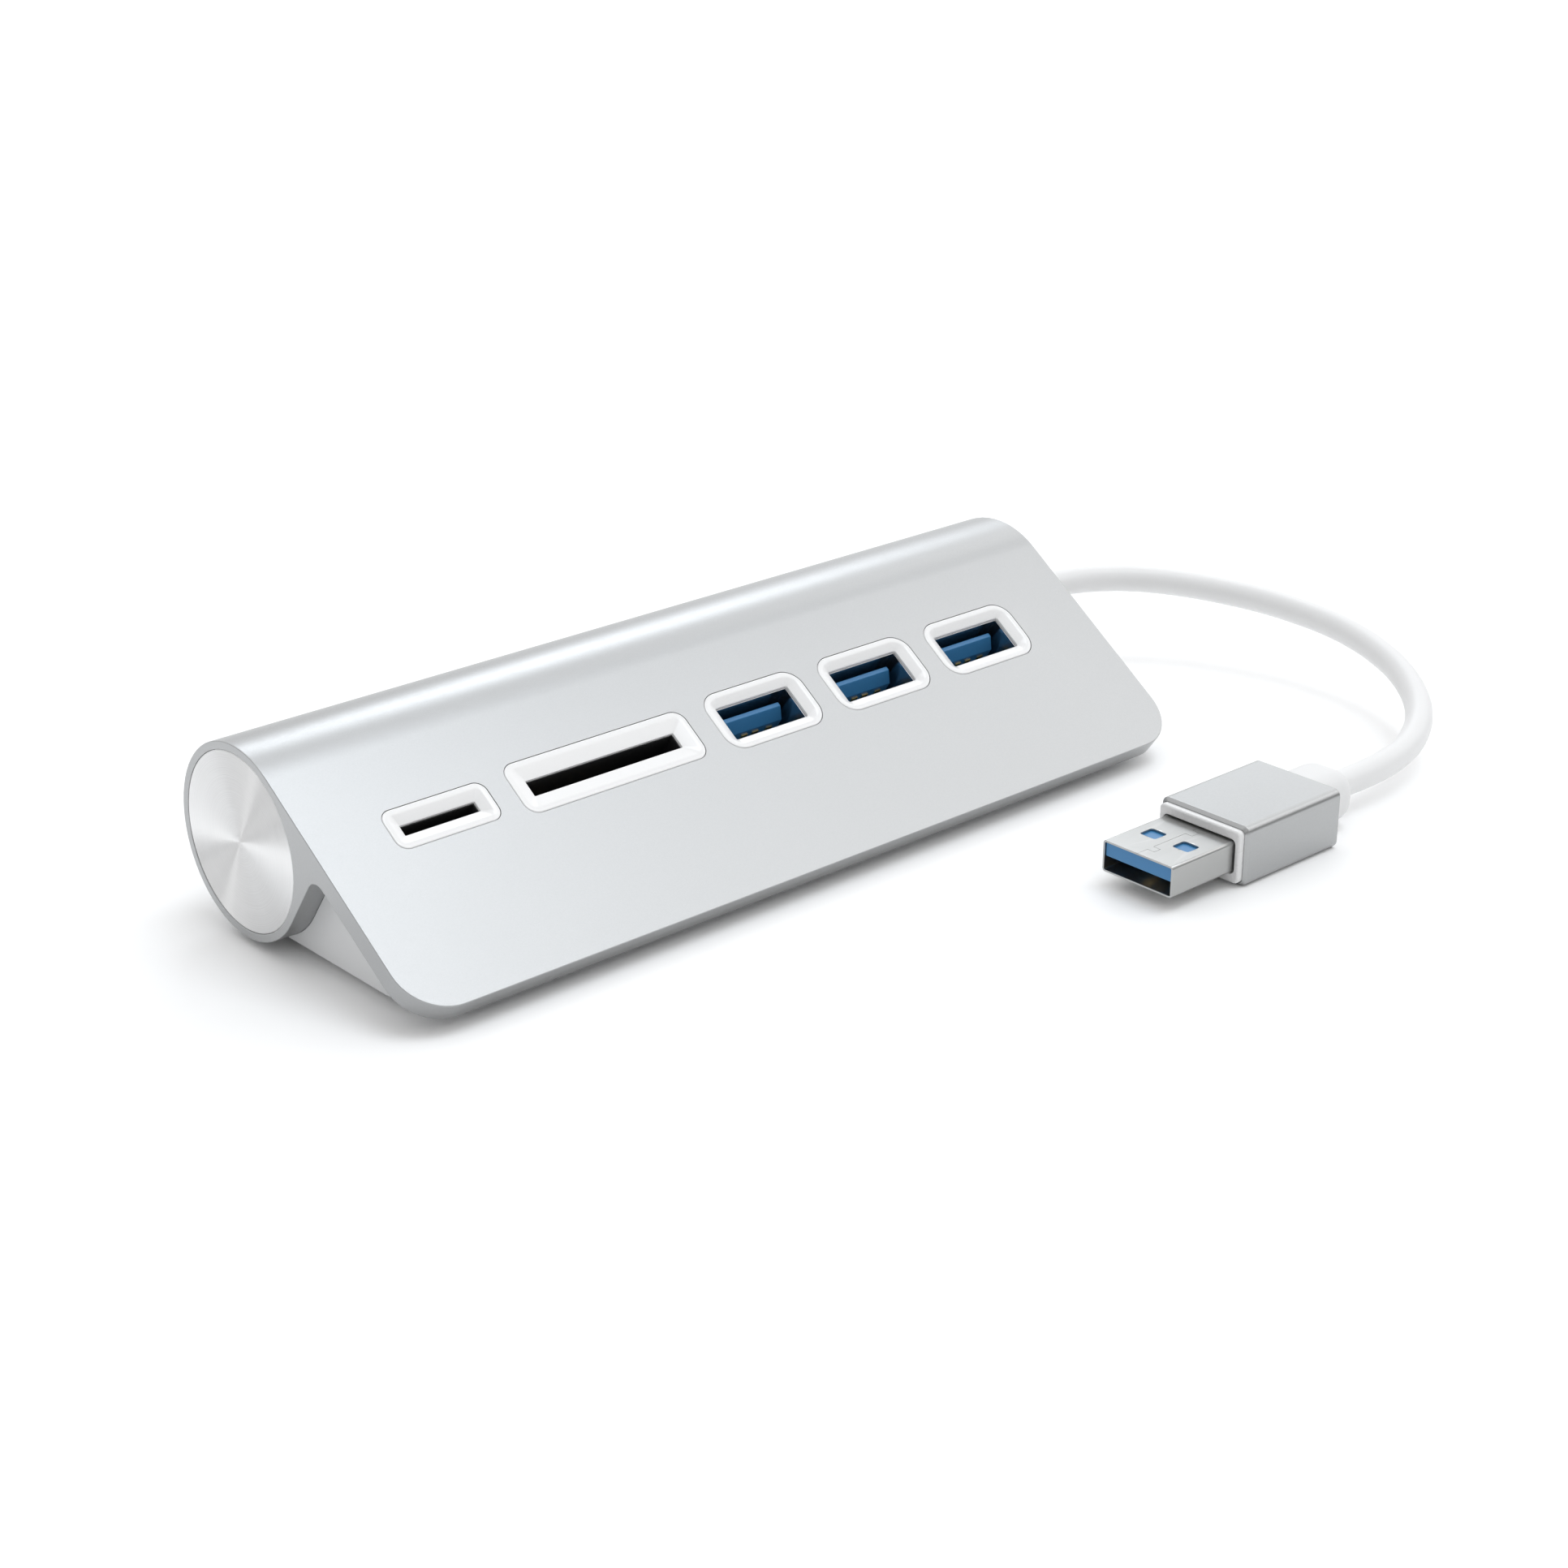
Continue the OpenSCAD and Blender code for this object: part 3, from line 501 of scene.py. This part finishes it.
def ringed_disc(node, side, hole):
    """A turned disc. Shallow rings run from its edge to its centre or its hole."""
    low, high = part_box(node)
    radius = (high.z - low.z) / 2
    back, front = (high.x, low.x) if side < 0 else (low.x, high.x)
    out = math.copysign(1, front - back)
    chamfer = DISC_CHAMFER
    profile = [(hole, back), (radius, back), (radius, front - out * chamfer)]
    profile += [(radius - chamfer * 0.3, front - out * chamfer * 0.3), (radius - chamfer, front)]
    rings = int((radius - chamfer - hole) / RING_PITCH)
    for i in range(1, rings):
        at = radius - chamfer - i * RING_PITCH
        profile.append((at + RING_PITCH / 2, front - out * RING_DEPTH))
        profile.append((at, front))
    profile.append((hole, front))
    bm = bmesh.new()
    spin(bm, profile, 144, lambda a, b, along: (along, TUBE.y + a, TUBE.z + b))
    return show(node + "_piece", bm, [node], sharp=40)


def add_boot():
    """The lead's boot: a flange inside the cap, then a grooved nose that narrows.

    GROOVE holds (depth, along) pairs in millimetres.
    """
    low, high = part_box("cable_boot")
    flange = (high.z - low.z) / 2
    inside = CABLE_D / 2 + BOOT_ROOM
    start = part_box("end_cap_right")[1].x + BOOT_COLLAR
    pitch = (high.x - 1 * MM - start) / GROOVES
    profile = [(inside, low.x), (flange, low.x), (flange, low.x + BOOT_FLANGE_T),
               (BOOT_ROOT_R, low.x + BOOT_FLANGE_T), (BOOT_ROOT_R, start)]
    for i in range(GROOVES):
        at = start + i * pitch
        outer = BOOT_ROOT_R + (BOOT_NOSE_R - BOOT_ROOT_R) * (i + 1) / GROOVES
        profile += [(outer - depth * MM, at + along * MM) for depth, along in GROOVE]
        profile.append((outer, at + pitch))
    for turn in (math.radians(a) for a in (20, 45, 70, 90)):
        profile.append((BOOT_NOSE_R - BOOT_TIP_R * (1 - math.cos(turn)),
                        high.x - BOOT_TIP_R * (1 - math.sin(turn))))
    profile.append((inside, high.x))
    bm = bmesh.new()
    spin(bm, profile, 48, lambda a, b, along: (along, TUBE.y + a, TUBE.z + b))
    return show("cable_boot_piece", bm, ["cable_boot"])


def add_ends():
    """Both discs and the boot, which it returns."""
    ringed_disc("end_cap_left", -1, 0)
    ringed_disc("end_cap_right", 1, CAP_HOLE_R)
    return add_boot()


# ---------------------------------------------------------------- ports

FUNNEL_DEPTH = 0.7 * MM
FUNNEL_STEPS = (0.12, 0.94, 1)
THROAT_DEPTH = 0.4 * MM
THROAT_STEP = 0.06 * MM
RIM = 0.8 * MM
RIM_ROUND = 0.22 * MM
RIM_BREAK = 0.12 * MM

USB_OPEN, USB_SEAT = (13 * MM, 5.5 * MM), (13.4 * MM, 5.92 * MM)
SD_OPEN, SD_SEAT = (24.6 * MM, 2.5 * MM), (28.0 * MM, 3.9 * MM)
MICROSD_OPEN, MICROSD_SEAT = (11.5 * MM, 1.6 * MM), (13.6 * MM, 2.8 * MM)

TONGUE_W = 11.1 * MM
TONGUE_LOW, TONGUE_HIGH = -0.04 * MM, 1.8 * MM
TONGUE_BLOCK = 2.6 * MM
TONGUE_CUT = 0.4 * MM
TONGUE_LEAD_IN = 1.9 * MM
TONGUE_TIP_T = 0.65 * MM
TONGUE_TIP_GAP = 0.05 * MM
TONGUE_ROUND = 0.1 * MM
SHEET_ROUND = 0.08 * MM


def add_bezel(node, opening, seat, radius, throat_radius):
    """A port's white frame: rounded rim, four sloping walls and a short straight throat."""
    low, high = plate_box(node)
    x, y = (low.x + high.x) / 2, (low.y + high.y) / 2
    width, height, top, bottom = high.x - low.x, high.y - low.y, high.z, low.z

    def loop(z, size, r):
        return [TO_ROW @ Vector((x + a, y + b, z)) for a, b in rounded_rectangle(*size, r)]

    def inset_loop(z, inset):
        return loop(z, (width - 2 * inset, height - 2 * inset), max(radius - inset, throat_radius))

    loops = [inset_loop(bottom, 0)]
    for turn in (math.radians(a) for a in range(0, 91, 15)):
        loops.append(inset_loop(top - RIM_ROUND * (1 - math.sin(turn)),
                                RIM_ROUND * (1 - math.cos(turn))))
    loops.append(inset_loop(top, RIM - RIM_BREAK))
    mouth, mouth_r = (width - 2 * RIM, height - 2 * RIM), radius - RIM
    for t in FUNNEL_STEPS:
        size = [m + (o - m) * t for m, o in zip(mouth, opening)]
        loops.append(loop(top - FUNNEL_DEPTH * t, size, mouth_r + (throat_radius - mouth_r) * t))
    throat_top = top - FUNNEL_DEPTH
    throat_low = throat_top - THROAT_DEPTH
    throat = [o - THROAT_STEP for o in opening]
    loops.append(loop(throat_top - THROAT_STEP, throat, throat_radius))
    loops.append(loop(throat_low, throat, throat_radius))
    loops.append(loop(throat_low, seat, throat_radius))
    loops.append(loop(bottom, seat, throat_radius))
    bm = bmesh.new()
    loft(bm, loops, closed_tube=True)
    return show(node + "_piece", bm, [node], sharp=38)


def add_port_tongue(i):
    """The blue moulding of a USB port: a block below and a tongue with chamfered corners."""
    node = f"usb_insulator_{i}"
    low, high = plate_box(node)
    x, y = (low.x + high.x) / 2, (low.y + high.y) / 2

    def ring(half, bottom, top, z):
        corners = [(-half, bottom), (half, bottom), (half, top), (-half, top)]
        return [TO_ROW @ Vector((x + a, y + b, z)) for a, b in corners]

    half, half_w, half_h = TONGUE_W / 2, (high.x - low.x) / 2, (high.y - low.y) / 2
    block_top = low.z + TONGUE_BLOCK
    tip_high = TONGUE_HIGH - TONGUE_TIP_GAP
    bm = bmesh.new()
    loft(bm, [ring(half_w, -half_h, half_h, low.z), ring(half_w, -half_h, half_h, block_top),
              ring(half, TONGUE_LOW, TONGUE_HIGH, block_top),
              ring(half, TONGUE_LOW, TONGUE_HIGH, high.z - TONGUE_LEAD_IN),
              ring(half - TONGUE_CUT, tip_high - TONGUE_TIP_T, tip_high, high.z)])
    bm.normal_update()
    edges = [e for e in bm.edges if e.calc_face_angle(0) > math.radians(20)]
    round_edges(bm, edges, TONGUE_ROUND, 2)
    return show(node + "_piece", bm, [node])


def add_ports():
    """The five white frames with the shells, tongues and card sockets behind them."""
    for i in range(1, 4):
        add_bezel(f"bezel_usb_{i}", USB_OPEN, USB_SEAT, 2.8 * MM, 0.3 * MM)
        softened(f"usb_shell_{i}", SHEET_ROUND)
        add_port_tongue(i)
    add_bezel("bezel_sd", SD_OPEN, SD_SEAT, 1.9 * MM, 0.15 * MM)
    add_bezel("bezel_microsd", MICROSD_OPEN, MICROSD_SEAT, 1.6 * MM, 0.12 * MM)
    for node in ("sd_socket", "microsd_socket"):
        softened(node, SHEET_ROUND)


# ---------------------------------------------------------------- plug

PLUG_Y = middle("plug_shell").y
PLUG_Z = middle("plug_shell").z
PLUG_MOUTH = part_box("plug_shell")[0].x
FRONT_STEPS = ((0, 1), (0.06, 0.9), (0.85, 0.1), (0.95, 0.03), (1.1, 0))


def plug_loop(x, width, height, radius):
    """A rounded rectangle across the plug's axis."""
    points = rounded_rectangle(width, height, radius)
    return [Vector((x, PLUG_Y + a, PLUG_Z + b)) for a, b in points]


def add_sleeve():
    """The plug's aluminium sleeve: a thin rounded tube with a chamfered front edge.

    FRONT_STEPS holds (along, inset) pairs, as shares of the chamfer.
    """
    low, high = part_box("plug_sleeve")
    width, height = high.y - low.y, high.z - low.z
    corner, wall, front, rear = 1.1 * MM, 0.5 * MM, 0.45 * MM, 0.2 * MM
    loops = []
    for along, share in FRONT_STEPS:
        inset = share * front
        loops.append(plug_loop(low.x + front * along, width - 2 * inset, height - 2 * inset,
                               corner - inset * 0.5))
    for a in range(0, 91, 30):
        turn = math.radians(a)
        inset = rear * (1 - math.cos(turn))
        loops.append(plug_loop(high.x - rear * (1 - math.sin(turn)), width - 2 * inset,
                               height - 2 * inset, corner - inset))
    for x in (high.x, low.x):
        loops.append(plug_loop(x, width - 2 * wall, height - 2 * wall, corner - wall * 0.8))
    bm = bmesh.new()
    loft(bm, loops, closed_tube=True)
    return show("plug_sleeve_piece", bm, ["plug_sleeve"])


def add_core():
    """The white moulding in the sleeve, with a recess round the steel shell."""
    low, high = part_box("plug_core")
    width, height = high.y - low.y, high.z - low.z
    corner, lip = 0.75 * MM, 0.35 * MM
    shell_w, shell_h, shell_r = 12 * MM, 4.5 * MM, 0.5 * MM
    recess, depth, soft = 0.2 * MM, 0.9 * MM, 0.1 * MM
    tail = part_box("plug_shell")[1].x
    loops = [plug_loop(high.x, width, height, corner)]
    for a in range(0, 91, 15):
        turn = math.radians(a)
        inset = lip * (1 - math.cos(turn))
        loops.append(plug_loop(low.x + lip * (1 - math.sin(turn)), width - 2 * inset,
                               height - 2 * inset, corner - inset * 0.5))
    for x, room in ((low.x, recess + soft), (low.x + soft, recess), (low.x + depth, recess),
                    (low.x + depth, 0), (tail, 0)):
        loops.append(plug_loop(x, shell_w + 2 * room, shell_h + 2 * room, shell_r + room))
    bm = bmesh.new()
    loft(bm, loops)
    return show("plug_core_piece", bm, ["plug_core"])


def add_relief():
    """The soft white neck between the sleeve and the lead, with a rounded shoulder."""
    low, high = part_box("plug_strain_relief")
    width, height = high.y - low.y, high.z - low.z
    shoulder, corner, least_corner, face_margin = 2.4 * MM, 3.2 * MM, 1.5 * MM, 1 * MM
    hole = CABLE_D + 0.1 * MM
    seat = ROUTE[-1][0] * MM
    loops = [plug_loop(low.x, width, height, corner)]
    for a in range(0, 91, 15):
        turn = math.radians(a)
        inset = (shoulder - face_margin) * (1 - math.cos(turn))
        loops.append(plug_loop(high.x - shoulder * (1 - math.sin(turn)), width - 2 * inset,
                               height - 2 * inset, max(corner - inset, least_corner)))
    loops.append(plug_loop(high.x, hole, hole, hole / 2))
    loops.append(plug_loop(seat, hole, hole, hole / 2))
    bm = bmesh.new()
    loft(bm, loops)
    return show("plug_strain_relief_piece", bm, ["plug_strain_relief"])


JOINT_GAP = 0.05 * MM
JOINT_DEPTH = 0.12 * MM
JOINT_PATH = [(-1, 0), (1.9, 0), (1.9, -1.15), (3.1, -1.15), (3.1, 0), (9.4, 0),
              (9.4, -1.15), (10.9, -1.15), (10.9, 0), (13, 0)]
WINDOW_AT = 6.25 * MM
WINDOW_SIDE = 2.8 * MM
WINDOW_CORNER = 0.4 * MM
SHELL_ROUND = 0.06 * MM


def joint_cutter():
    """A thin rod along the steel shell's joint, from JOINT_PATH in millimetres from its mouth."""
    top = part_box("plug_shell")[1].z
    gap = JOINT_GAP
    path = [(PLUG_MOUTH + x * MM, PLUG_Y + y * MM) for x, y in JOINT_PATH]
    bm = bmesh.new()
    for (x0, y0), (x1, y1) in zip(path, path[1:]):
        a, b = min(x0, x1) - gap / 2, max(x0, x1) + gap / 2
        c, d = min(y0, y1) - gap / 2, max(y0, y1) + gap / 2
        box = bmesh.ops.create_cube(bm, size=1)["verts"]
        for v in box:
            v.co = Vector(((a + b) / 2 + v.co.x * (b - a), (c + d) / 2 + v.co.y * (d - c),
                           top + v.co.z * 2 * JOINT_DEPTH))
    mesh = bpy.data.meshes.new("joint")
    bm.to_mesh(mesh)
    bm.free()
    cutter = bpy.data.objects.new("joint", mesh)
    scene.collection.objects.link(cutter)
    return cutter


def window_corner(edge):
    """True for the short upright edges at the corners of the plug's windows."""
    a, b = (v.co for v in edge.verts)
    upright = abs(a.x - b.x) + abs(a.y - b.y) < 0.01 * MM and abs(a.z - b.z) > 0.1 * MM
    return upright and 1 * MM < a.x - PLUG_MOUTH < 9 * MM and abs(a.y - PLUG_Y) < 5 * MM


def add_plug_shell():
    """The plug's folded steel shell with its two windows above and below, and its joint."""
    cuts = [((PLUG_MOUTH + WINDOW_AT, 0, 0), (1, 0, 0))]
    cuts += [((0, PLUG_Y + side * WINDOW_SIDE, 0), (0, 1, 0)) for side in (-1, 1)]
    shell = softened("plug_shell", SHELL_ROUND, corners=(window_corner, WINDOW_CORNER), cuts=cuts)
    cutter = joint_cutter()
    cut = shell.modifiers.new("joint", "BOOLEAN")
    cut.object = cutter
    cut.operation = "DIFFERENCE"
    cut.solver = "EXACT"
    cut.use_self = True
    bpy.context.view_layer.update()
    shell.modifiers.move(1, 0)
    graph = bpy.context.evaluated_depsgraph_get()
    final = bpy.data.meshes.new_from_object(shell.evaluated_get(graph))
    shell.modifiers.clear()
    shell.data = final
    bpy.data.objects.remove(cutter)
    return shell


def add_plug():
    """The plug's pieces, which it returns."""
    pieces = [add_sleeve(), add_core(), add_relief(), add_plug_shell()]
    pieces.append(softened("plug_insulator", SHEET_ROUND))
    pieces.append(NODES["plug_contacts"])
    return pieces


# ---------------------------------------------------------------- floor and light

FLOOR_SIZE = 6
WORLD_FILL = 0.03
COOL, WHITE = (0.90, 0.95, 1.0), (1, 1, 1)
LIGHTS = [
    ("key", 60, 75, 30, 0.75, COOL),
    ("back", 138, 35, 18, 0.26, COOL),
    ("side", 100, 30, 40, 0.31, WHITE),
    ("right", 60, 40, 40, 0.36, WHITE),
    ("front", 0, 40, 60, 0.33, WHITE),
    ("left", -90, 40, 60, 0.40, WHITE),
    ("wall_left", -90, 30, 120, 0.17, WHITE),
    ("wall_front", 0, 30, 120, 0.80, WHITE),
    ("wall_right", 135, 45, 120, 1.0, WHITE),
    ("wall_back", 180, 30, 120, 1.2, WHITE),
]


def add_floor():
    """A plain pale floor at the height the part stands on."""
    bm = bmesh.new()
    bmesh.ops.create_grid(bm, x_segments=2, y_segments=2, size=FLOOR_SIZE)
    mesh = bpy.data.meshes.new("floor")
    bm.to_mesh(mesh)
    bm.free()
    floor = bpy.data.objects.new("floor", mesh)
    scene.collection.objects.link(floor)
    paper = Surface("paper", (0.98, 0.98, 0.98), 0.9, Specular_IOR_Level=0.0)
    paper.tint(paper.spread(paper.noise(0.6, 2), 0, 0.1), (0.97, 0.97, 0.97))
    mesh.materials.append(paper.material)


def add_sun(name, azimuth, elevation, spread, strength, colour):
    """A distant soft light, with its angles in degrees. Azimuth runs from -Y towards +X."""
    data = bpy.data.lights.new(name, "SUN")
    data.angle = math.radians(spread)
    data.energy = strength
    data.color = colour
    lamp = bpy.data.objects.new(name, data)
    a, e = math.radians(azimuth), math.radians(elevation)
    towards = Vector((math.sin(a) * math.cos(e), -math.cos(a) * math.cos(e), math.sin(e)))
    lamp.rotation_euler = towards.to_track_quat("Z", "Y").to_euler()
    scene.collection.objects.link(lamp)


def add_world():
    """Even fill light; the camera itself sees a white room."""
    world = bpy.data.worlds.new("room")
    scene.world = world
    world.use_nodes = True
    tree = world.node_tree
    fill = tree.nodes["Background"]
    fill.inputs["Strength"].default_value = WORLD_FILL
    fill.inputs["Color"].default_value = (1, 1, 1, 1)
    white = tree.nodes.new("ShaderNodeBackground")
    white.inputs["Color"].default_value = (1, 1, 1, 1)
    path = tree.nodes.new("ShaderNodeLightPath")
    mix = tree.nodes.new("ShaderNodeMixShader")
    tree.links.new(path.outputs["Is Camera Ray"], mix.inputs["Fac"])
    tree.links.new(fill.outputs["Background"], mix.inputs[1])
    tree.links.new(white.outputs["Background"], mix.inputs[2])
    tree.links.new(mix.outputs["Shader"], tree.nodes["World Output"].inputs["Surface"])


# ---------------------------------------------------------------- assembly


def paint_rest():
    """Gives the CAD nodes that stay as they are their slot's material."""
    for name, node in NODES.items():
        material = MATERIALS[slot_of(name)]
        node.data.materials.clear()
        node.data.materials.append(material)


add_camera()
paint_rest()
add_body()
boot = add_ends()
add_ports()
add_cable([boot] + add_plug())
add_floor()
add_world()
for light in LIGHTS:
    add_sun(*light)
